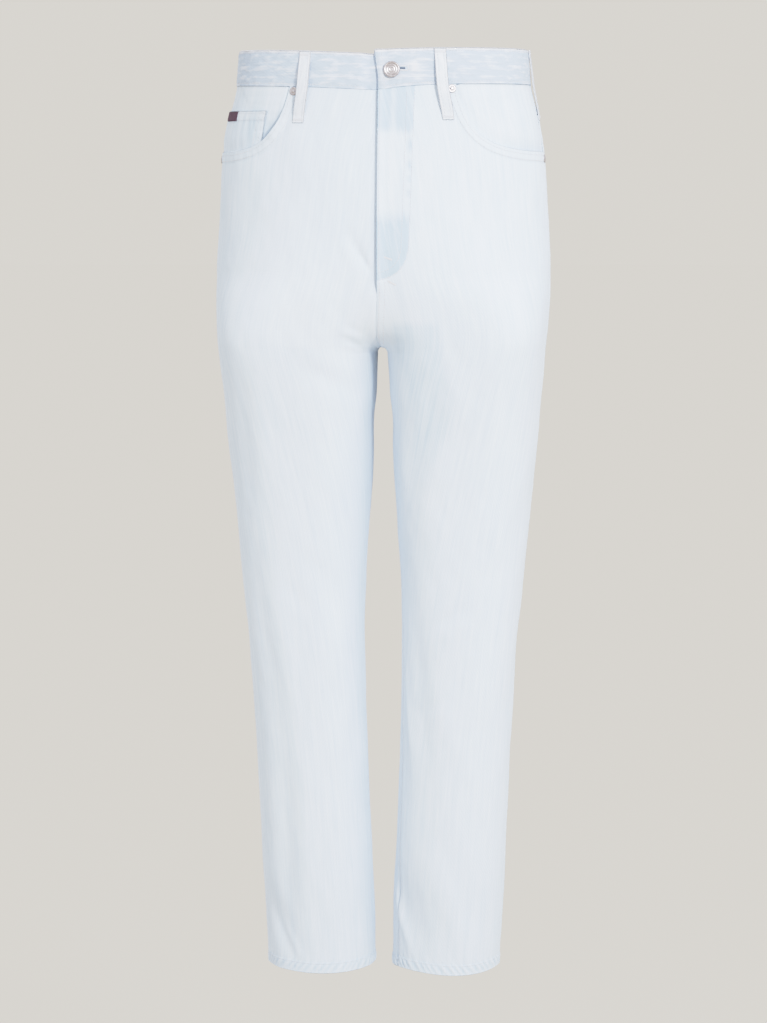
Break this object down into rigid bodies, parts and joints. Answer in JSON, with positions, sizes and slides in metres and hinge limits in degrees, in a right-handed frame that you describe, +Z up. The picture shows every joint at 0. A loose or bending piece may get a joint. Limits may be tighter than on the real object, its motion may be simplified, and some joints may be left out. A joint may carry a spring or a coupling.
{
  "type": "straight jeans",
  "caption": "High-rise straight ankle-length jeans in pale washed denim, worn shape, hollow, with fly, button, belt loops, patch back pockets and curved front pockets.",
  "frame": {"origin": "centre of the waist opening, level with the waistband's top edge at the side seams", "axes": "+X to the wearer's left, +Y to the wearer's back, +Z up; the legs hang down along -Z"},
  "size_m": [0.3614, 0.228, 0.9981],
  "materials": {
    "denim": "bleached pale blue cotton denim, right-hand twill, matt",
    "zip_tape": "woven zip tape, matt",
    "tape": "plain woven tape, matt",
    "nickel": "satin nickel"
  },
  "bodies": {
    "root": {"front_left": "denim", "front_right": "denim", "back_left": "denim", "back_right": "denim", "yoke_left": "denim", "yoke_right": "denim", "pocket_facing_left": "denim", "pocket_facing_right": "denim", "back_pocket_left": "denim", "back_pocket_right": "denim", "coin_pocket": "denim", "waistband": "denim", "fly_placket": "denim", "fly_shield": "denim", "belt_loop_front_left": "denim", "belt_loop_front_right": "denim", "belt_loop_side_left": "denim", "belt_loop_side_right": "denim", "belt_loop_back": "denim", "zip": "zip_tape", "side_tab": "tape", "button": "nickel", "rivet_left": "nickel", "rivet_right": "nickel", "rivet_side_left": "nickel", "rivet_side_right": "nickel"}
  },
  "joints": []
}
